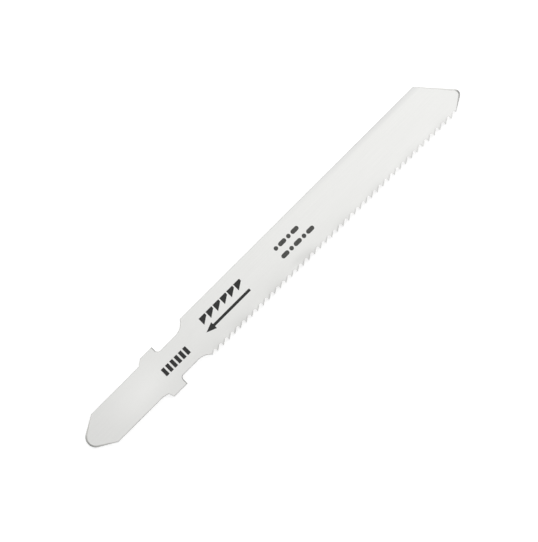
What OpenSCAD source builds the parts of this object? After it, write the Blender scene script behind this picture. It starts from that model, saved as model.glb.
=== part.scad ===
// Jigsaw blade with a T-shaped shank, for sheet metal.
// It is one piece: a blank punched from steel strip, with teeth milled along one edge
// and pressed sideways into a shallow wave, so that the cut is wider than the sheet.
// Frame: x runs along the blade towards its point, y from the teeth to the back,
// z through the sheet. The origin is on the tang's centreline, half way through the
// sheet, in the plane of the lug shoulders that the saw's holder bears on.

/* [Sheet] */
// Thickness of the steel strip
thickness = 1; // [0.8:0.05:1.5]
// Width of the small break along the punched edges
edge_break = 0.1; // [0.05:0.01:0.3]
// Width of the break round the tail's end and the nose
end_break = 0.35; // [0.1:0.01:0.38]

/* [Shank] */
// Length of the tang, from its tail to the shoulders of the lugs
tang_length = 20.35; // [18:0.1:26]
// Width of the tang
tang_width = 7; // [6.5:0.05:7.6]
// Length of the taper at the tail
tail_taper = 4.2; // [3.5:0.1:6]
// Radius of the tail's round end
tail_radius = 1.9; // [1.2:0.1:2.6]
// Length along the crest of the lug on the back side
back_lug_length = 2.9; // [2:0.05:4]
// Run of the ramp behind that lug
back_ramp = 1.2; // [0.6:0.05:2]
// Length along the crest of the lug on the tooth side
front_lug_length = 3.3; // [2:0.05:4]
// Distance from the centreline to the crest of that lug
front_lug_height = 4.83; // [4.6:0.01:5.2]
// Run of the steep face behind that lug
front_ramp = 0.35; // [0.2:0.05:1]
// Run of the shallow swell that leads to that face
front_swell = 1.25; // [0.6:0.05:2]
// Height of that swell above the edge of the tang
swell_height = 0.3; // [0.1:0.01:0.5]

/* [Neck] */
// Distance from the centreline to the neck's back edge
neck_back = 2.83; // [2.5:0.01:3.2]
// Distance from the centreline to the neck's front edge
neck_front = 3.19; // [2.8:0.01:3.4]
// Distance from the shoulders to where the neck starts to widen
neck_length = 4.4; // [3:0.05:8]
// Radius in the corner between the neck and the back lug
back_fillet = 0.7; // [0.4:0.05:1.2]
// Radius in the corner between the neck and the tooth-side lug
front_fillet = 0.6; // [0.4:0.05:1.2]
// Radius of the two flares from the neck to the full width of the blade
flare_radius = 3.3; // [2:0.1:5]

/* [Blade] */
// Distance from the shoulders to the end of the back
back_length = 66.35; // [50:0.05:110]
// Distance from the centreline to the back of the blade and the crest of its lug
back_height = 4.36; // [4:0.01:4.6]
// Distance from the centreline to the points of the teeth
tooth_reach = 4.59; // [4.3:0.01:4.75]
// Length along the axis of the slanting cut across the point
point_run = 5.85; // [4:0.05:7.5]
// Angle between the blade's axis and that cut
point_angle = 48.2; // [40:0.1:55]
// Angle between the axis and the relief cut from the nose back to the teeth
relief_angle = 30.8; // [20:0.1:40]
// Radius of the nose, where the two cuts meet
nose_radius = 1; // [0.6:0.05:1.5]

/* [Teeth] */
// Distance from one tooth to the next
pitch = 1.445; // [1.1:0.001:2.2]
// Depth of the gullets between the teeth
tooth_depth = 0.7; // [0.5:0.01:0.85]
// Radius of the gullets
gullet_radius = 0.3; // [0.15:0.01:0.34]
// Angle by which a tooth's leading face leans over its gullet
rake_angle = 4; // [-5:0.5:8]
// Length that the flare takes off the first tooth, along the line of the points
heel_cut = 0.55; // [0:0.01:0.8]

/* [Set] */
// How far the points of the teeth are pressed to each side
set_out = 0.2; // [0.05:0.01:0.35]
// Number of teeth that one wave of the set takes
wave_teeth = 6; // [4:0.5:12]
// Height of the strip that is bent, from the points of the teeth
set_height = 2; // [1.4:0.1:3]
// Length over which the wave grows at each end of the row of teeth
set_fade = 4; // [2:0.5:8]

/* [Hidden] */
steel_colour = [0.88, 0.88, 0.87];

// Largest turn of one step along the outline's arcs, in degrees
arc_step = 6;
// Steps of a gullet's arc from the flank to its bottom, and from there to the face
flank_steps = 2;
face_steps = 4;
// Rows of facets between the bend line and the roots of the teeth
bend_rows = 3;
// Share of a pitch by which the middle of a tooth's root lies behind its point
root_share = 0.25;
// Share of a leading face that the relief cut may take
face_share = 0.9;
// How far the row of roots lies inside the gullets
root_margin = 0.2;
// How far the tools that break the edges stand clear of the blank
clear = 0.1;
// How near to a round end's arc a point of the outline counts as lying on it
on_arc = 0.001;
// How far the toothed strip laps into the flat of the blank on its three inner sides
lap = 0.1;

half_sheet = thickness / 2;
half_tang = tang_width / 2;

// The tail: its round end runs tangent into the two sides of the taper
tail_corner_x = tail_taper - tang_length;
tail_centre = [tail_radius - tang_length, 0];
taper_side = [tail_corner_x, half_tang] - tail_centre;
taper_angle = atan2(taper_side.y, taper_side.x) - asin(tail_radius / norm(taper_side));

// The flares: each arc leaves the neck level, and would stop at the full width
back_flare_angle = acos(1 - (back_height - neck_back) / flare_radius);
flare_centre = [neck_length, -neck_front - flare_radius];
full_flare_angle = acos(1 - (tooth_reach - neck_front) / flare_radius);

// The nose: the two cuts across the point meet in a corner, which is rounded
nose_corner = [back_length + point_run, back_height - point_run * tan(point_angle)];
nose_half_angle = (point_angle + relief_angle) / 2;
nose_axis_angle = 180 - (point_angle - relief_angle) / 2;
nose_centre = nose_corner + nose_radius / sin(nose_half_angle)
    * [cos(nose_axis_angle), sin(nose_axis_angle)];

// A gullet's arc, seen from the point of the tooth before it: the flank runs
// tangent into it on one side, and the next tooth's leading face on the other
gullet_centre = [
    pitch + (tooth_depth - gullet_radius) * tan(rake_angle) - gullet_radius / cos(rake_angle),
    tooth_depth - gullet_radius
];
flank_angle = atan2(gullet_centre.y, gullet_centre.x)
    + asin(gullet_radius / norm(gullet_centre));
gullet_angles = concat(
    [for (k = [0:flank_steps - 1]) 90 + flank_angle * (1 - k / flank_steps)],
    [for (k = [0:face_steps]) 90 - (90 + rake_angle) * k / face_steps]
);

// The heel: the flare's arc cuts off the first tooth's point and ends on its flank
row_start = flare_centre.x + flare_radius * sin(full_flare_angle) - heel_cut;
flank = [cos(flank_angle), sin(flank_angle)];
from_flare = [row_start, -tooth_reach] - flare_centre;
along_flank = from_flare * flank;
heel = [row_start, -tooth_reach]
    + flank * (sqrt(along_flank ^ 2 - from_flare * from_flare + flare_radius ^ 2) - along_flank);
heel_angle = atan2(heel.y - flare_centre.y, heel.x - flare_centre.x);

// The toe: the row ends with the last tooth whose straight leading face the relief
// cut can still meet. Where the cut passes below its point, the point stays.
cut_slope = tan(relief_angle);
cut_foot = nose_corner.x - (nose_corner.y + tooth_reach) / cut_slope;
face_height = gullet_centre.y - gullet_radius * sin(rake_angle);
gullets = floor((cut_foot + face_share * face_height / cut_slope - row_start) / pitch);
last_point = row_start + gullets * pitch;
face_left = max(0, (last_point - cut_foot) * cut_slope / (1 - tan(rake_angle) * cut_slope));
toe_corner = [last_point + face_left * tan(rake_angle), face_left - tooth_reach];
toe_x = last_point + root_share * pitch;
toe = [toe_x, max(0, (toe_x - cut_foot) * cut_slope) - tooth_reach];

// The set: waves along the row, which grow from nothing at the bend line
bend_y = set_height - tooth_reach;
root_y = tooth_depth - tooth_reach + root_margin;
wave_length = wave_teeth * pitch;

function arc(centre, radius, from, to) =
    let (steps = ceil(abs(to - from) / arc_step))
    [for (k = [0:steps])
        let (angle = from + (to - from) * k / steps)
        centre + radius * [cos(angle), sin(angle)]];

function smooth(u) = u * u * (3 - 2 * u);

// Everything that the punch cuts, anticlockwise from the toe round to the heel
punched_edge = concat(
    [toe_corner, toe],
    cut_foot > toe.x ? [[cut_foot, -tooth_reach]] : [],
    arc(nose_centre, nose_radius, relief_angle - 90, 90 - point_angle),
    [[back_length, back_height]],
    arc([neck_length, neck_back + flare_radius], flare_radius, back_flare_angle - 90, -90),
    arc([back_fillet, neck_back + back_fillet], back_fillet, -90, -180),
    [
        [0, back_height],
        [-back_lug_length, back_height],
        [-back_lug_length - back_ramp, half_tang],
        [tail_corner_x, half_tang]
    ],
    arc(tail_centre, tail_radius, 90 + taper_angle, 270 - taper_angle),
    [
        [tail_corner_x, -half_tang],
        [-front_lug_length - front_ramp - front_swell, -half_tang],
        [-front_lug_length - front_ramp, -half_tang - swell_height],
        [-front_lug_length, -front_lug_height],
        [0, -front_lug_height]
    ],
    arc([front_fillet, -neck_front - front_fillet], front_fillet, 180, 90),
    arc(flare_centre, flare_radius, 90, heel_angle)
);

// The blank, down to the bend line above the teeth
module blank() {
    past_corner = [for (j = [1:len(punched_edge) - 1]) punched_edge[j]];
    bend_line = [[heel.x, bend_y], [toe.x, bend_y]];
    translate([0, 0, -half_sheet])
        linear_extrude(height = thickness)
            polygon(concat(past_corner, bend_line));
}

function outward(from, to) =
    let (along = (to - from) / norm(to - from))
    [along.y, -along.x];

// The direction of the mitre between two edges, as long as it has to be for edges
// that are moved out by 1
function mitre(before, after) = (before + after) / (1 + before * after);

// The break widens towards the two round ends
function break_at(place) =
    let (
        from_tail = norm(place - tail_centre) - tail_radius,
        from_nose = norm(place - nose_centre) - nose_radius
    )
    min(from_tail, from_nose) < on_arc ? end_break : edge_break;

// A sharp-edged bar that runs along the whole punched edge on the upper face, and
// past both its ends. What it takes off the blank is the break of that edge.
module edge_bar() {
    last = len(punched_edge) - 1;
    normals = [for (j = [0:last - 1]) outward(punched_edge[j], punched_edge[j + 1])];
    mitres = concat(
        [normals[0]],
        [for (j = [1:last - 1]) mitre(normals[j - 1], normals[j])],
        [normals[last - 1]]
    );
    run_on = clear * 3;
    start_step = run_on * [normals[0].y, -normals[0].x];
    end_step = run_on * [-normals[last - 1].y, normals[last - 1].x];
    path = [for (j = [0:last])
        punched_edge[j] + (j == 0 ? start_step : j == last ? end_step : [0, 0])];
    function section(width) = [
        [clear, half_sheet - width - clear],
        [-width - clear, half_sheet + clear],
        [clear, half_sheet + clear]
    ];
    points = [for (j = [0:last]) for (corner = section(break_at(punched_edge[j])))
        let (place = path[j] + corner.x * mitres[j])
        [place.x, place.y, corner.y]];
    sides = [for (j = [0:last - 1]) for (k = [0:2])
        let (here = 3 * j + k, beside = 3 * j + (k + 1) % 3)
        each [
            [here, here + 3, beside + 3],
            [here, beside + 3, beside]
        ]];
    ends = [[0, 1, 2], [3 * last + 2, 3 * last + 1, 3 * last]];
    polyhedron(points, concat(sides, ends), convexity = 10);
}

// How far the set moves a point of the sheet sideways: a sine along the blade, times
// a rise from the bend line that starts gently and ends at the points of the teeth
function set_shift(point) =
    let (
        from_heel = point.x - heel.x,
        growth = max(0, min(1, from_heel / set_fade, (toe.x - point.x) / set_fade)),
        rise = max(0, bend_y - point.y) / set_height
    )
    set_out * sin(360 * from_heel / wave_length) * smooth(growth) * rise ^ 2;

// The milled and set strip below the bend line. It is a grid of facets from the bend
// line to the row of roots, then a fan of facets in each tooth. The grid's first row
// and its two outer columns lie flat inside the blank, which joins the two for good.
module tooth_strip() {
    column_x = concat(
        [heel.x - lap, heel.x],
        [for (i = [0:gullets - 1])
            let (point = row_start + i * pitch, behind = point + gullet_centre.x)
            each [i == 0 ? (heel.x + behind) / 2 : point + root_share * pitch, behind]],
        [toe.x, toe.x + lap]
    );
    row_y = concat(
        [bend_y + lap],
        [for (r = [0:bend_rows]) bend_y + (root_y - bend_y) * r / bend_rows]
    );
    columns = len(column_x);
    last_column = columns - 1;
    last_row = len(row_y) - 1;
    grid = [for (y = row_y) for (x = column_x) [x, y]];
    gullet = [for (angle = gullet_angles)
        gullet_centre + gullet_radius * [cos(angle), sin(angle)]];
    cutting_edge = [for (i = [0:gullets - 1])
        let (point = [row_start + i * pitch, -tooth_reach])
        each concat([i == 0 ? heel : point], [for (step = gullet) point + step])];
    flat_points = concat(grid, cutting_edge, [toe_corner, toe]);
    half = len(flat_points);

    // Numbers of the points: grid by row and column, then point and gullet of each
    // tooth. After the last gullet the corner and the end of the toe follow alike.
    function at(r, c) = r * columns + c;
    function tip(i) = len(grid) + i * (len(gullet) + 1);
    function in_gullet(i, k) = tip(i) + 1 + k;
    function root(i) = at(last_row, 2 * i + 2);
    function behind(i) = at(last_row, 2 * i + 3);

    // Up to this step, a gullet's facets meet behind it, and past it in the next root
    split = flank_steps + face_steps / 2;
    last_step = len(gullet) - 1;

    upper = concat(
        [for (r = [0:last_row - 1]) for (c = [0:last_column - 1])
            each [
                [at(r, c), at(r, c + 1), at(r + 1, c + 1)],
                [at(r, c), at(r + 1, c + 1), at(r + 1, c)]
            ]],
        [
            [at(last_row, 0), at(last_row, 1), tip(0)],
            [at(last_row, 1), root(0), tip(0)],
            [root(gullets), at(last_row, last_column), half - 1]
        ],
        [for (i = [0:gullets]) [root(i), in_gullet(i, 0), tip(i)]],
        [for (i = [0:gullets - 1])
            each concat(
                [[root(i), behind(i), in_gullet(i, 0)]],
                [for (k = [0:split - 1])
                    [behind(i), in_gullet(i, k + 1), in_gullet(i, k)]],
                [[behind(i), root(i + 1), in_gullet(i, split)]],
                [for (k = [split:last_step - 1])
                    [root(i + 1), in_gullet(i, k + 1), in_gullet(i, k)]],
                [[root(i + 1), tip(i + 1), in_gullet(i, last_step)]]
            )]
    );
    lower = [for (f = upper) [f[2] + half, f[1] + half, f[0] + half]];

    // The walls, each strip of them along a line of points
    bend_wall = [for (c = [last_column:-1:0]) at(0, c)];
    cut_wall = [for (k = [len(grid):half - 1]) k];
    heel_wall = concat([for (r = [0:last_row]) at(r, 0)], [tip(0)]);
    toe_wall = concat([half - 1], [for (r = [last_row:-1:0]) at(r, last_column)]);
    walls = [for (line = [bend_wall, cut_wall, heel_wall, toe_wall])
        for (k = [0:len(line) - 2])
            [line[k], line[k + 1], line[k + 1] + half, line[k] + half]];

    points = [for (side = [half_sheet, -half_sheet]) for (p = flat_points)
        [p.x, p.y, side + set_shift(p)]];
    polyhedron(points, concat(upper, lower, walls), convexity = 10);
}

module blade() {
    color(steel_colour)
        difference() {
            union() {
                blank();
                tooth_strip();
            }
            edge_bar();
            mirror([0, 0, 1]) edge_bar();
        }
}

blade();
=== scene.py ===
# %% [markdown]
# A jigsaw blade for sheet metal, laid flat on white
#
# The real blade is one piece of hardened steel strip. A press punches the blank, a cutter
# mills the teeth along one edge, rolls press them into a shallow wave, and a pad prints
# a few marks in black ink. The solid comes from the CAD frame, at its real size. Here it
# gets the finish of each of those steps, the ink, soft light and a camera.

# %% Load the frame
import math

import bmesh
import bpy
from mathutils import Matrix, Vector


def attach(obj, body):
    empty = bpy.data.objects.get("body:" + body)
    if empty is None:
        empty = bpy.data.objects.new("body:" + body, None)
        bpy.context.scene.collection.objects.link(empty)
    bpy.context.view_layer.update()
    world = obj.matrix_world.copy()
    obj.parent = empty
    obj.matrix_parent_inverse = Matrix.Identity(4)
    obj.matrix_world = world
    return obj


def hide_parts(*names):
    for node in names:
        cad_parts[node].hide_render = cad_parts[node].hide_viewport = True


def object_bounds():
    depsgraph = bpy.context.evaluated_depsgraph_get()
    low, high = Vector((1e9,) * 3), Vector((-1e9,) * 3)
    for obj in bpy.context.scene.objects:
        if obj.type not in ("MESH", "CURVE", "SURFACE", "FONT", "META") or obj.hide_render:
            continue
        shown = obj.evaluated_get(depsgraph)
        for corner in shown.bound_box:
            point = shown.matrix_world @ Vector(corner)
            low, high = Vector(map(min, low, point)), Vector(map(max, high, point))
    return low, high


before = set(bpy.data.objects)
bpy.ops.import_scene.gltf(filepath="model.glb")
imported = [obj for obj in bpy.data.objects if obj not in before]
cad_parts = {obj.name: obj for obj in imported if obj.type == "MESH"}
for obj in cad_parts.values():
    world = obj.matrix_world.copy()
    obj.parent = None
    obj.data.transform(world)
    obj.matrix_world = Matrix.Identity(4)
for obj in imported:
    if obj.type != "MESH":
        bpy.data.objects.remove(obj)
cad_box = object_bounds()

MM = 0.001
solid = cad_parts["blade"]
largest_face = max(solid.data.polygons, key=lambda face: face.area)
half_sheet = abs(largest_face.center.z)
print("The CAD box in mm:", [[round(c / MM, 2) for c in corner] for corner in cad_box])
print("The sheet's upper face in mm, from its middle:", round(half_sheet / MM, 3))

# %% [markdown]
# Three small helpers
#
# Colours are easiest to compare with a photo as sRGB hex values, but the renderer adds up
# light in linear values, so one function turns the first into the second. Every material
# is a tree of nodes, so one function adds a node with its settings and its links. The
# last one makes an empty material and hands over its tree and its shader.

# %% Colour and node helpers
def linear(hex_colour):
    """An sRGB hex value such as #E6E6E4 as linear red, green, blue and alpha."""
    channels = [int(hex_colour[i:i + 2], 16) / 255 for i in (1, 3, 5)]
    curve = [c / 12.92 if c <= 0.04045 else ((c + 0.055) / 1.055) ** 2.4 for c in channels]
    return (*curve, 1.0)


def add_node(tree, kind, settings=None, links=None):
    """Add a node. A setting is a socket or a property, and a link is to a socket.

    Sockets go by name or by number.
    """
    made = tree.nodes.new("ShaderNode" + kind)
    for name, value in (settings or {}).items():
        if isinstance(name, int) or name in made.inputs:
            made.inputs[name].default_value = value
        else:
            setattr(made, name, value)
    for name, source in (links or {}).items():
        tree.links.new(source, made.inputs[name])
    return made


def new_material(name, settings):
    """An empty material with one Principled shader, whose sockets get the settings."""
    material = bpy.data.materials.new(name)
    material.use_nodes = True
    tree = material.node_tree
    tree.nodes.clear()
    shader = add_node(tree, "BsdfPrincipled", settings)
    add_node(tree, "OutputMaterial", links={"Surface": shader.outputs["BSDF"]})
    return material, tree, shader


print("Mid grey, #777777, in linear light:", round(linear("#777777")[0], 3))

# %% [markdown]
# The camera
#
# The blade is seen straight from above with a long lens, and it lies across the picture
# from the lower left to the upper right. An orthographic camera would draw the same
# outline, but a lens lets the other views keep a natural depth, so the camera is only
# moved far back. How far follows from the height of the view at the blade's upper face.

# %% Camera
IMAGE_HEIGHT = 542                # pixels, the longer side
PIXELS_PER_MM = 5.568             # on the blade's upper face
VIEW_CENTRE = Vector((24.65, -0.84, 0)) * MM
VIEW_TURN = math.radians(-44.89)
LENS = 180.0                      # mm, as is the sensor, which spans the longer side
SENSOR = 36.0
CLIP_START = 10 * MM

view_height = IMAGE_HEIGHT / PIXELS_PER_MM * MM
camera_height = half_sheet + view_height * LENS / SENSOR
camera_data = bpy.data.cameras.new("camera")
camera_data.lens = LENS
camera_data.sensor_width = SENSOR
camera_data.clip_start = CLIP_START
camera = bpy.data.objects.new("camera", camera_data)
camera.location = VIEW_CENTRE + Vector((0, 0, camera_height))
camera.rotation_euler = (0, 0, VIEW_TURN)
bpy.context.scene.collection.objects.link(camera)
bpy.context.scene.camera = camera
bpy.context.scene.view_settings.view_transform = "Standard"
print(f"The picture is {view_height / MM:.1f} mm high, seen from {camera_height / MM:.1f} mm")

# %% [markdown]
# White paper to lie on
#
# A sheet of matt white paper carries the blade and takes its soft shadow. It could be lit
# until it turns white, but then the steel would be too bright. So the paper glows as well,
# and only for what the camera and the steel's gloss see.

# %% Floor
FLOOR_SIDE = 3.0                  # metres
FLOOR_GLOW = 0.55

half_floor = FLOOR_SIDE / 2
floor_z = cad_box[0].z
floor_corners = [(-half_floor, -half_floor), (half_floor, -half_floor),
                 (half_floor, half_floor), (-half_floor, half_floor)]
floor_data = bpy.data.meshes.new("floor")
floor_data.from_pydata([(x, y, floor_z) for x, y in floor_corners], [], [(0, 1, 2, 3)])
floor = bpy.data.objects.new("floor", floor_data)
bpy.context.scene.collection.objects.link(floor)

paper, paper_tree, paper_shader = new_material(
    "white_paper",
    {"Base Color": linear("#E8E8E8"), "Roughness": 0.9, "Emission Color": linear("#FFFFFF")})
path = add_node(paper_tree, "LightPath")
seen = add_node(paper_tree, "Math", {"operation": "MAXIMUM"},
                {0: path.outputs["Is Camera Ray"], 1: path.outputs["Is Glossy Ray"]})
glow = add_node(paper_tree, "Math", {"operation": "MULTIPLY", 1: FLOOR_GLOW},
                {0: seen.outputs[0]})
paper_tree.links.new(glow.outputs[0], paper_shader.inputs["Emission Strength"])
floor_data.materials.append(paper)
print("Floor height in mm:", round(floor_z / MM, 3))

# %% [markdown]
# A studio's dim walls and bright ceiling
#
# Satin steel shows what stands round it. A point lamp would leave one small highlight on
# it. So the first light is a sky that is dim at the horizon, as a studio's walls are, and
# grows brighter up to a good way overhead.

# %% Sky
ZENITH = 0.5
HORIZON = 0.09
ZENITH_FROM = 0.8                 # the height on a dome of radius 1 where it is full

world = bpy.data.worlds.new("studio")
bpy.context.scene.world = world
world.use_nodes = True
sky_tree = world.node_tree
background = sky_tree.nodes["Background"]
background.inputs["Color"].default_value = linear("#FFFFFF")
aim = add_node(sky_tree, "TexCoord")
aim_axes = add_node(sky_tree, "SeparateXYZ", links={0: aim.outputs["Generated"]})
dome = add_node(sky_tree, "MapRange",
                {"From Max": ZENITH_FROM, "To Min": HORIZON, "To Max": ZENITH},
                {"Value": aim_axes.outputs["Z"]})
sky_tree.links.new(dome.outputs["Result"], background.inputs["Strength"])
print("Sky from", HORIZON, "at the horizon to", ZENITH, "overhead")

# %% [markdown]
# Cards of light
#
# A photographer lights metal with large white cards. They could be glowing planes, but
# area lamps give the same light with less noise. The big card overhead reaches from a
# little behind the tail to far past the point, so the steel grows brighter towards the
# point. A long card stands along the back of the blade, and a shorter one off the
# slanting cut. Both stand low, because from low behind the tail the two faces would burn
# out under higher ones. The other sides stay dim, and there the broken edges turn grey.

# %% Light cards
def soft_card(name, place, target, size, radiance):
    """A lamp as bright as a white card of that radiance. Places and sizes are in metres.

    An even lamp's power is its radiance times pi times its area.
    """
    data = bpy.data.lights.new(name, "AREA")
    data.shape = "RECTANGLE"
    data.size, data.size_y = size
    data.energy = radiance * math.pi * size[0] * size[1]
    lamp = bpy.data.objects.new(name, data)
    lamp.location = place
    lamp.rotation_euler = (Vector(target) - Vector(place)).to_track_quat("-Z", "Y").to_euler()
    bpy.context.scene.collection.objects.link(lamp)


soft_card("overhead_card", place=(0.30, 0.10, 0.62), target=(0.30, 0.10, 0),
          size=(0.8, 1.1), radiance=0.72)
soft_card("back_card", place=(0.23, 0.55, 0.12), target=(0.23, 0, 0.1),
          size=(1.5, 0.3), radiance=0.8)
soft_card("point_card", place=(0.34, 0.27, 0.10), target=(0.07, 0, 0),
          size=(0.5, 0.25), radiance=0.75)

# %% [markdown]
# A clean copy of the solid
#
# The outline, the teeth and the wave of the set are the CAD solid's own, because a form
# belongs where it can be measured. The visible blade is a copy of it. The copy's points
# are joined, and flat stretches that came as triangles become single faces again.

# %% Copy the solid
WELD = 0.0002 * MM
FLAT_WITHIN = math.radians(0.3)

surface = bmesh.new()
surface.from_mesh(solid.data)
bmesh.ops.remove_doubles(surface, verts=surface.verts, dist=WELD)
bmesh.ops.dissolve_limit(
    surface, angle_limit=FLAT_WITHIN, verts=surface.verts, edges=surface.edges)
surface.normal_update()
print("Faces:", len(solid.data.polygons), "before and", len(surface.faces), "after")

# %% [markdown]
# Where the teeth stand
#
# The finish of the teeth follows their pitch. That could be typed in again. Here it is
# read from the solid, so that the finish follows when a size changes. The lug on the tooth
# side reaches lower than the teeth, so only what lies past the neck is looked at.

# %% Find the points of the teeth
BLADE_FROM = 6.0 * MM             # in the flare, a little past the neck
SAME_LINE = 0.001 * MM

past_neck = [v.co for v in surface.verts if v.co.x > BLADE_FROM]
point_line = min(co.y for co in past_neck)
points_x = sorted({round(co.x / MM, 3) for co in past_neck if co.y - point_line < SAME_LINE})
pitch = (points_x[-1] - points_x[0]) / (len(points_x) - 1) * MM
first_point = points_x[0] * MM - pitch      # the flare cuts this one off
last_point = points_x[-1] * MM
print(f"{len(points_x)} points, {pitch / MM:.3f} mm apart, from x {points_x[0]} to "
      f"{points_x[-1]} mm, at y {point_line / MM:.2f} mm")

# %% [markdown]
# Faces sorted by how they were made
#
# Each tool leaves its own surface: the wheel on the two faces, the punch on the walls of
# the outline, the tumbler on the edge between the two, and the cutter on the walls of the
# teeth. They could be painted with masks, but the tools changed over at real edges, so
# each face of the mesh simply gets the material of its tool.

# %% Sort the faces
FACE, WALL, BROKEN, TOOTH = range(4)
NEARLY_LEVEL = 0.9
NEARLY_UPRIGHT = 0.35
GULLETS_WITHIN = 0.79 * MM        # above the points, a little more than a gullet is deep
ROW_START = first_point - pitch / 4
ROW_END = last_point + pitch / 2


def zone_of(face):
    """The tool that made this face, from the way it points and where it lies."""
    up = abs(face.normal.z)
    if up > NEARLY_LEVEL:
        return FACE
    if up > NEARLY_UPRIGHT:
        return BROKEN
    middle = face.calc_center_median()
    in_row = ROW_START < middle.x < ROW_END and middle.y < point_line + GULLETS_WITHIN
    return TOOTH if in_row else WALL


for face in surface.faces:
    face.material_index = zone_of(face)
zones = [face.material_index for face in surface.faces]
print("Faces on the face, wall, broken edge and teeth:",
      [zones.count(zone) for zone in (FACE, WALL, BROKEN, TOOTH)])

# %% [markdown]
# The slope of the teeth's backs
#
# A tooth leads with its steep face, and its back slopes away from its point. The painted shade on
# the backs, further down, follows that slope. It is read from the solid as well, where the backs
# are the largest walls in the row.

# %% Measure the backs of the teeth
row_walls = [face for face in surface.faces if face.material_index == TOOTH]
back = max(row_walls, key=lambda face: face.calc_area())
back_angle = math.atan2(back.normal.x, -back.normal.y)
print(f"The backs of the teeth slope at {math.degrees(back_angle):.1f} degrees")

# %% [markdown]
# Smooth where the metal flows, sharp where a tool turned
#
# The wave of the set is a smooth bend, and its facets meet at small angles. The edges that
# a punch or a cutter left meet at large ones, so an angle between the two tells them
# apart. Level faces are left flat, so that no shading creeps into them from the wave. The
# solid brings normals of its own, which would overrule all this, so the copy drops them.

# %% Finish the blade's mesh
SHARP_FROM = math.radians(25)
LEVEL = 0.99999

for face in surface.faces:
    face.smooth = abs(face.normal.z) < LEVEL
for edge in surface.edges:
    edge.smooth = len(edge.link_faces) == 2 and edge.calc_face_angle(0) < SHARP_FROM
blade_data = bpy.data.meshes.new("blade_steel")
surface.to_mesh(blade_data)
print("Open edges:", sum(not edge.is_manifold for edge in surface.edges))
surface.free()
if "custom_normal" in blade_data.attributes:
    blade_data.attributes.remove(blade_data.attributes["custom_normal"])

blade = bpy.data.objects.new("blade_steel", blade_data)
bpy.context.scene.collection.objects.link(blade)
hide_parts("blade")
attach(blade, "root")

# %% [markdown]
# Patterns in real sizes
#
# Grinding lines, the streaks of a sheared wall and the dents of tumbling are all soft
# spots, drawn out in one direction or in none. An image could hold them, but a pattern
# that is worked out in the blade's own space has no seam and needs no unwrapping. One
# function draws the spots at their size in millimetres, and one lets them drive a finish.
# A Mix node has its numbers and its colours under the same names, so those sockets go by
# their places in it.

# %% Pattern helpers
FACTOR = 0
NUMBER_A, NUMBER_B, NUMBER_OUT = 2, 3, 0
COLOUR_A, COLOUR_B, COLOUR_OUT = 6, 7, 2


def spots(tree, sizes_mm, detail=2.0):
    """Soft spots of about the given length, width and height, round a value of 0.5.

    More detail lays finer spots over them.
    """
    place = add_node(tree, "TexCoord")
    scaled = add_node(tree, "Mapping", {"Scale": [1 / (size * MM) for size in sizes_mm]},
                      {"Vector": place.outputs["Object"]})
    cloud = add_node(tree, "TexNoise", {"Scale": 1.0, "Detail": detail},
                     {"Vector": scaled.outputs["Vector"]})
    return cloud.outputs["Fac"]


def draw_finish(tree, shader, pattern, colours, roughness, depth_mm, toned=()):
    """Let a pattern run through two colours, a range of roughness and a depth.

    Each toned place is a mask from 0 to 1, and the colour that it turns the surface to.
    """
    dark, light = (linear(colour) for colour in colours)
    colour = add_node(tree, "Mix", {"data_type": "RGBA", COLOUR_A: dark, COLOUR_B: light},
                      {FACTOR: pattern})
    for mask, tint in toned:
        colour = add_node(tree, "Mix", {"data_type": "RGBA", COLOUR_B: linear(tint)},
                          {FACTOR: mask, COLOUR_A: colour.outputs[COLOUR_OUT]})
    rough = add_node(tree, "MapRange", {"To Min": roughness[0], "To Max": roughness[1]},
                     {"Value": pattern})
    relief = add_node(tree, "Bump", {"Distance": depth_mm * MM}, {"Height": pattern})
    tree.links.new(colour.outputs[COLOUR_OUT], shader.inputs["Base Color"])
    tree.links.new(rough.outputs["Result"], shader.inputs["Roughness"])
    tree.links.new(relief.outputs["Normal"], shader.inputs["Normal"])


print("A spot of 1 mm is drawn at a scale of", round(1 / MM), "in the blade's space")

# %% [markdown]
# Soft fields of tone
#
# The faces are not one even grey, but have soft darker and paler fields. A painted mask would do,
# but an oval that fades out over its whole reach is enough, and it has no edge. The two faces
# have four: a paler one on the tang, which is a painted sheen, a shade of darker grey along the
# teeth, most of all in the first half of the row, another along the back towards the point, and a
# small dark one above the gullets, a little before the middle of the row.

# %% Fields on the faces
FACE_FIELDS = [                   # middle and reach in mm, and the tint
    # The first, paler field is a painted sheen.
    ((-7, 0), (11, 7), "#F1F1EF"),
    ((20, -4.6), (44, 5.5), "#E4E4E2"),
    ((62, 4.5), (44, 1.5), "#DCDCDB"),
    ((30.3, -3.9), (4.2, 2.0), "#DADAD8"),
]


def soft_field(tree, middle_mm, reach_mm):
    """1 in the middle of an oval on the face, falling softly to 0 at its reach."""
    place = add_node(tree, "TexCoord")
    in_oval = add_node(tree, "Mapping",
                       {"vector_type": "TEXTURE",
                        "Location": [middle_mm[0] * MM, middle_mm[1] * MM, 0],
                        "Scale": [reach_mm[0] * MM, reach_mm[1] * MM, 1]},
                       {"Vector": place.outputs["Object"]})
    away = add_node(tree, "VectorMath", {"operation": "LENGTH"},
                    {0: in_oval.outputs["Vector"]})
    field = add_node(tree, "MapRange",
                     {"interpolation_type": "SMOOTHSTEP", "From Min": 1.0, "From Max": 0.0},
                     {"Value": away.outputs["Value"]})
    return field.outputs["Result"]


def toned_fields(tree, fields):
    """The mask and the tint of each field."""
    return [(soft_field(tree, middle, reach), tint) for middle, reach, tint in fields]


print("Fields of tone on the faces:", len(FACE_FIELDS))
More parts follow.
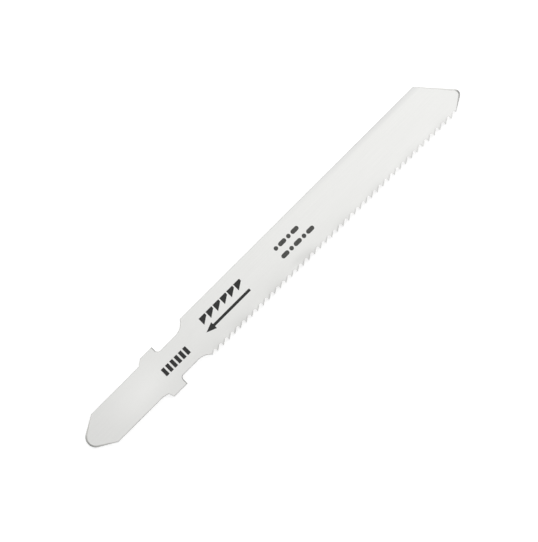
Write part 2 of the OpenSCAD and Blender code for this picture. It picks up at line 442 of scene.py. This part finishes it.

# %% [markdown]
# Places along the row of teeth
#
# The teeth get a painted shade as well, and that shade follows their row. It needs to know how
# far along the row a place lies and how high it stands above the line of the points. The blade's
# own X and Y tell both, once they count from the first point. The shade fades a little towards
# the last tooth. A Compare node ends it outside the row: it gives 1 up to half the row's length
# from the row's middle, and 0 further out.

# %% Row of teeth
TONE_AT_END = 0.65                # at the last tooth, where the first has 1


def row_place(tree):
    """X from the first point, Y from the line of the points, and the tone's strength there."""
    place = add_node(tree, "TexCoord")
    moved = add_node(tree, "Mapping", {"Location": (-first_point, -point_line, 0)},
                     {"Vector": place.outputs["Object"]})
    axes = add_node(tree, "SeparateXYZ", links={0: moved.outputs["Vector"]})
    in_row = add_node(tree, "Math",
                      {"operation": "COMPARE", 1: (ROW_START + ROW_END) / 2 - first_point,
                       2: (ROW_END - ROW_START) / 2},
                      {0: axes.outputs["X"]})
    fade = add_node(tree, "MapRange",
                    {"From Max": last_point - first_point, "To Min": 1.0, "To Max": TONE_AT_END},
                    {"Value": axes.outputs["X"]})
    strength = add_node(tree, "Math", {"operation": "MULTIPLY"},
                        {0: in_row.outputs[0], 1: fade.outputs["Result"]})
    return axes.outputs["X"], axes.outputs["Y"], strength.outputs[0]


print(f"The row is {(ROW_END - ROW_START) / MM:.1f} mm long")

# %% [markdown]
# Groups of the set
#
# The rolls bend a group of teeth to one side and the next group to the other, and the painted
# shade along the row comes and goes with such groups, as they lean from the light and towards it.
# Each tooth could have a shade of its own, but the groups follow a wave, so one cosine along the
# row gives them all.

# %% Groups of teeth
WAVE_TEETH = 6
FIRST_GROUP = 3.4                 # pitches from the first point to the first dark group's middle


def set_groups(tree, from_first):
    """1 in the middle of each darker group of teeth, and 0 in the middle of the next."""
    turn = 2 * math.pi / (WAVE_TEETH * pitch)
    angle = add_node(tree, "Math", {"operation": "MULTIPLY_ADD", 1: turn,
                                    2: -turn * FIRST_GROUP * pitch}, {0: from_first})
    wave = add_node(tree, "Math", {"operation": "COSINE"}, {0: angle.outputs[0]})
    groups = add_node(tree, "MapRange", {"From Min": -1.0}, {"Value": wave.outputs[0]})
    return groups.outputs["Result"]


print(f"One wave of the set is {WAVE_TEETH * pitch / MM:.2f} mm long")

# %% [markdown]
# Painted shade on the backs of the teeth
#
# On the faces, a narrow band along the back of each tooth is painted darker. It is a painted
# shade on the edge that faces away from the light, and it is deeper in the darker groups of the
# set. The leading side of a tooth stays clean. The band could be cut into the mesh, but it has no
# edge of its own. As the teeth are all alike, what is left of X after whole pitches gives the
# place on any tooth, and the height above the sloping back gives the place in the band.

# %% Painted shade on the backs of the teeth
BACK_SHADE_WIDTH = 0.36 * MM
BACK_SHADE_LENGTH = (0.75 * MM, 1.05 * MM)      # from the point, where it starts to fade and ends
LEAST_BACK_SHADE = 0.6                          # in the paler groups


def shaded_tooth_backs(tree):
    """1 on the back of each tooth, falling to 0 a little way inside it."""
    x, y, row_strength = row_place(tree)
    from_point = add_node(tree, "Math", {"operation": "FLOORED_MODULO", 1: pitch}, {0: x})
    above_back = add_node(tree, "Math",
                          {"operation": "MULTIPLY_ADD", 1: -math.tan(back_angle)},
                          {0: from_point.outputs[0], 2: y})
    near_back = add_node(tree, "MapRange",
                         {"From Min": BACK_SHADE_WIDTH / math.cos(back_angle), "From Max": 0.0},
                         {"Value": above_back.outputs[0]})
    near_point = add_node(tree, "MapRange",
                          {"From Min": BACK_SHADE_LENGTH[1], "From Max": BACK_SHADE_LENGTH[0]},
                          {"Value": from_point.outputs[0]})
    in_group = add_node(tree, "MapRange", {"To Min": LEAST_BACK_SHADE},
                        {"Value": set_groups(tree, x)})
    mask = row_strength
    for factor in (near_back, near_point, in_group):
        mask = add_node(tree, "Math", {"operation": "MULTIPLY"},
                        {0: mask, 1: factor.outputs["Result"]}).outputs[0]
    return mask


# The band is painted shade along the backs of the teeth.
print(f"The dulled band is {BACK_SHADE_WIDTH / MM:.2f} mm wide")

# %% [markdown]
# Shaded bends above the gullets
#
# In the darker groups the strip above the gullets is a shade darker too, where the bend of the
# set turns it from the light. It could be left to the light on the solid's own bend, but that
# hardly shows, so the finish adds a painted shade that fades out into the face.

# %% Shaded bends
BEND_FADE = (1.4 * MM, 0.85 * MM)      # above the points, where the shade starts and is full


def shaded_bends(tree):
    """1 at the gullets of the darker groups, fading out into the face."""
    x, y, row_strength = row_place(tree)
    low = add_node(tree, "MapRange", {"From Min": BEND_FADE[0], "From Max": BEND_FADE[1]},
                   {"Value": y})
    bend = add_node(tree, "Math", {"operation": "MULTIPLY"},
                    {0: low.outputs["Result"], 1: set_groups(tree, x)})
    mask = add_node(tree, "Math", {"operation": "MULTIPLY"},
                    {0: bend.outputs[0], 1: row_strength})
    return mask.outputs[0]


print("The shade is full at the gullets and gone", BEND_FADE[0] / MM, "mm above the points")

# %% [markdown]
# Hardened strip, ground and blasted
#
# The strip is rolled, ground lengthwise, hardened and blasted with fine grit. That gives
# a pale satin without a mirror image, with faint lines along the blade. An anisotropic
# shader would suit bare grinding, but the grit has broken its streak, so plain roughness
# is nearer. Real grinding lines are about 0.02 mm wide. Here they are drawn 0.16 mm
# wide, which is as fine as the picture can show. Soft clouds are mixed with the lines in
# equal shares, and the fields, bends and bands from above go over both.

# %% Ground steel
GRINDING_LINE = (7.0, 0.16, 0.16)      # length, width and height in mm, as for each pattern
CLOUD = (9.0, 3.0, 3.0)
SHARE_OF_LINES = 0.5


def ground_steel():
    """The two faces: steel of even satin, lined along the blade."""
    material, tree, shader = new_material("ground_steel", {"Metallic": 1.0})
    both = add_node(
        tree, "Mix", {FACTOR: SHARE_OF_LINES},
        {NUMBER_A: spots(tree, CLOUD), NUMBER_B: spots(tree, GRINDING_LINE, detail=3.0)})
    # The paler face field on the tang is a painted sheen.
    toned = toned_fields(tree, FACE_FIELDS)
    # A painted shade above the gullets of the darker groups.
    toned.append((shaded_bends(tree), "#E1E1DF"))
    # A painted shade along the backs of the teeth.
    toned.append((shaded_tooth_backs(tree), "#B8B8B6"))
    draw_finish(
        tree, shader, both.outputs[NUMBER_OUT],
        colours=("#E0E0DE", "#F2F2F0"), roughness=(0.34, 0.48), depth_mm=0.0016, toned=toned)
    return material


blade_data.materials.append(ground_steel())
print("Slot", FACE, "is", blade_data.materials[FACE].name)

# %% [markdown]
# The sheared wall
#
# A punch first cuts cleanly and then tears. The upper half of the wall is burnished, and
# the lower half is rough and darker, with streaks from face to face all the way down. The
# streaks could be cut into the mesh, but the wall is only 1 mm high, so colour and a
# little relief carry them. Real streaks are about 0.05 mm wide, and these are 0.12 mm.

# %% Sheared steel
STREAK = (0.12, 0.12, 1.5)
TORN_FROM = 0.25 * MM             # above the sheet's middle, where the tone is full
MOST_TORN = 0.75


def sheared_steel():
    """The wall of the punched outline."""
    material, tree, shader = new_material("sheared_steel", {"Metallic": 1.0})
    place = add_node(tree, "TexCoord")
    axes = add_node(tree, "SeparateXYZ", links={0: place.outputs["Object"]})
    torn = add_node(tree, "MapRange",
                    {"From Min": TORN_FROM, "From Max": 0.0, "To Max": MOST_TORN},
                    {"Value": axes.outputs["Z"]})
    draw_finish(
        tree, shader, spots(tree, STREAK, detail=3.0),
        colours=("#B0B0AD", "#E4E4E1"), roughness=(0.25, 0.6), depth_mm=0.008,
        toned=[(torn.outputs["Result"], "#8E8E8B")])
    return material


blade_data.materials.append(sheared_steel())
print("Slot", WALL, "is", blade_data.materials[WALL].name)

# %% [markdown]
# The broken edge
#
# Tumbling in stones takes the burr off the punched edges and leaves a narrow slope with fine
# dents, a little brighter in its own right than the wall. A bevel shader could fake the slope,
# but it is there in the solid, so it needs only its tone. The round ends of the tail and the nose
# are broken more widely. There, and on the edges of the two lug shoulders, which stand in the
# plane x = 0 and bear on the saw's holder, the slope gets a painted shade, as these slopes face
# away from the light. Real dents are about 0.05 mm wide, and these are 0.15 mm.

# %% Tumbled steel
DENT = (0.15, 0.15, 0.15)
# Painted shade on the broken edge.
EDGE_SHADE_FIELDS = [                   # the tail's end, the nose and the shoulders
    ((-20.3, -0.4), (1.8, 2.6), "#A4A4A2"),
    ((71.6, -2.0), (1.0, 0.9), "#9A9A98"),
    ((0, 0), (0.5, 12), "#9A9A98"),
]


def tumbled_steel():
    """The broken edge round the whole outline."""
    material, tree, shader = new_material("tumbled_steel", {"Metallic": 1.0})
    # The darker fields on the slope are painted shade.
    draw_finish(
        tree, shader, spots(tree, DENT),
        colours=("#B6B6B3", "#DEDEDB"), roughness=(0.2, 0.42), depth_mm=0.004,
        toned=toned_fields(tree, EDGE_SHADE_FIELDS))
    return material


blade_data.materials.append(tumbled_steel())
print("Slot", BROKEN, "is", blade_data.materials[BROKEN].name)

# %% [markdown]
# The milled teeth
#
# A stack of blanks is milled at once, with the cutter crossing from face to face. It
# leaves fine lines on the walls of the teeth in that direction. A bump alone would be lost
# at this size, so the lines change the tone as well. Real ones are about 0.02 mm apart,
# and these are 0.06 mm.

# %% Milled steel
MILLING_LINE = (0.06, 0.06, 3.0)


def milled_steel():
    """The walls of the teeth and the gullets."""
    material, tree, shader = new_material("milled_steel", {"Metallic": 1.0})
    draw_finish(
        tree, shader, spots(tree, MILLING_LINE),
        colours=("#B1B1AE", "#E8E8E5"), roughness=(0.22, 0.5), depth_mm=0.004)
    return material


blade_data.materials.append(milled_steel())
print("Slot", TOOTH, "is", blade_data.materials[TOOTH].name)

# %% [markdown]
# Printed ink
#
# A silicone pad lifts ink from an etched plate and sets it down on the steel. The film is
# matt, dense and about 0.01 mm thick, with a few spots of thinner ink. It could be a mask
# in the steel's material, but then its edge is only as sharp as the pattern, and the
# marks can't be left off. So each group of marks is a piece of its own, a thin solid film
# whose foot is sunk into the steel by a hair. Its top is drawn 0.012 mm high.

# %% Ink and film helpers
INK_SUNK = 0.005 * MM
INK_PROUD = 0.012 * MM
INK_SPOT = (0.3, 0.3, 0.3)


def pad_ink(name, dark, light):
    """Matt printing ink."""
    material, tree, shader = new_material(name, {"IOR": 1.5})
    draw_finish(tree, shader, spots(tree, INK_SPOT, detail=3.0),
                colours=(dark, light), roughness=(0.45, 0.65), depth_mm=0.003)
    return material


def printed(name, outlines, ink):
    """Thin solid films of ink on the upper face, one for each outline in mm."""
    film = bmesh.new()
    foot_z = half_sheet - INK_SUNK
    for outline in outlines:
        foot = film.faces.new([film.verts.new((x * MM, y * MM, foot_z)) for x, y in outline])
        grown = bmesh.ops.extrude_face_region(film, geom=[foot])["geom"]
        top = [part for part in grown if isinstance(part, bmesh.types.BMVert)]
        bmesh.ops.translate(film, verts=top, vec=(0, 0, INK_SUNK + INK_PROUD))
    bmesh.ops.recalc_face_normals(film, faces=film.faces)
    data = bpy.data.meshes.new(name)
    film.to_mesh(data)
    film.free()
    data.materials.append(ink)
    piece = bpy.data.objects.new(name, data)
    bpy.context.scene.collection.objects.link(piece)
    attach(piece, "root")
    print(name, "has", len(outlines), "films of ink")


black_ink = pad_ink("pad_ink", "#080808", "#323231")
thin_ink = pad_ink("thin_pad_ink", "#2A2A28", "#666663")
print(f"{black_ink.name} and {thin_ink.name}, {INK_PROUD / MM:.3f} mm proud")

# %% [markdown]
# Blocks on the neck
#
# The marks are plain shapes that say nothing. The first are six upright blocks on the
# neck. Text objects would be the usual way to print, but nothing here is lettered, so a
# short function gives the outline of each block.

# %% Print the blocks
NECK_LOW, NECK_HIGH = -1.3, 0.28
NECK_START, NECK_STEP, BLOCK_WIDTH, BLOCKS = -1.7, 1.08, 0.72, 6


def block(left):
    """An upright block, from its left side."""
    right = left + BLOCK_WIDTH
    return [(left, NECK_LOW), (right, NECK_LOW), (right, NECK_HIGH), (left, NECK_HIGH)]


printed("neck_blocks", [block(NECK_START + k * NECK_STEP) for k in range(BLOCKS)], black_ink)

# %% [markdown]
# A row of saw teeth and an arrow
#
# The blade carries a row of saw teeth with an arrow under it, which shows the way the
# blade cuts, towards the shank. The arrow is the same above and below its middle line, so
# only its lower half is given, and the upper half mirrors it.

# %% Print the row of teeth and the arrow
ROW_LEFT, TOOTH_STEP, TOOTH_WIDTH, TEETH = 9.6, 1.75, 1.5, 6
TOOTH_LOW, TOOTH_HEEL, TOOTH_HIGH = 0.5, 1.5, 2.0
ARROW_TIP, ARROW_END, ARROW_Y = 8.9, 19.9, -0.75
SHAFT_HALF, HEAD_LENGTH, HEAD_HALF = 0.26, 1.9, 0.75


def printed_tooth(left):
    """Upright in front, and sloping up behind to its heel."""
    right = left + TOOTH_WIDTH
    return [(left, TOOTH_LOW), (right, TOOTH_HEEL), (right, TOOTH_HIGH), (left, TOOTH_HIGH)]


def arrow_outline():
    """The lower half from the tip to the end of the shaft, and the same mirrored."""
    neck = ARROW_TIP + HEAD_LENGTH
    half = [(ARROW_TIP, 0), (neck, HEAD_HALF), (neck, SHAFT_HALF), (ARROW_END, SHAFT_HALF)]
    lower = [(x, ARROW_Y - y) for x, y in half]
    upper = [(x, ARROW_Y + y) for x, y in reversed(half[1:])]
    return lower + upper


printed("tooth_row", [printed_tooth(ROW_LEFT + k * TOOTH_STEP) for k in range(TEETH)], black_ink)
printed("arrow", [arrow_outline()], black_ink)

# %% [markdown]
# Dots and dashes
#
# Two short rows of dots and dashes stand further along the blade, in thinner ink. A dash
# is a bar with round ends, and a dot is a dash without length, so one outline makes both.

# %% Print the dots and dashes
DOT_RADIUS = 0.42
DASH_LENGTH, DASH_GAP = 0.9, 1.12
DASHES_START = 28.4
END_STEPS = 8
DASH_ROWS = [(1.15, "o-o-"), (-0.8, "-o-o-")]      # height of each row in mm, and what is in it


def dash(left, right, middle):
    """A bar with round ends, or a dot where left and right are the same."""
    def end(x, start):
        angles = [start + math.pi * k / END_STEPS for k in range(END_STEPS + 1)]
        return [(x + DOT_RADIUS * math.cos(a), middle + DOT_RADIUS * math.sin(a)) for a in angles]
    return end(right, -math.pi / 2) + end(left, math.pi / 2)


def dash_row(middle, marks):
    """The outlines of one row, from left to right."""
    lengths = [DASH_LENGTH if mark == "-" else 0.0 for mark in marks]
    starts = [DASHES_START + sum(lengths[:k]) + k * DASH_GAP for k in range(len(lengths))]
    return [dash(start, start + length, middle) for start, length in zip(starts, lengths)]


printed("dots_and_dashes", [o for row in DASH_ROWS for o in dash_row(*row)], thin_ink)
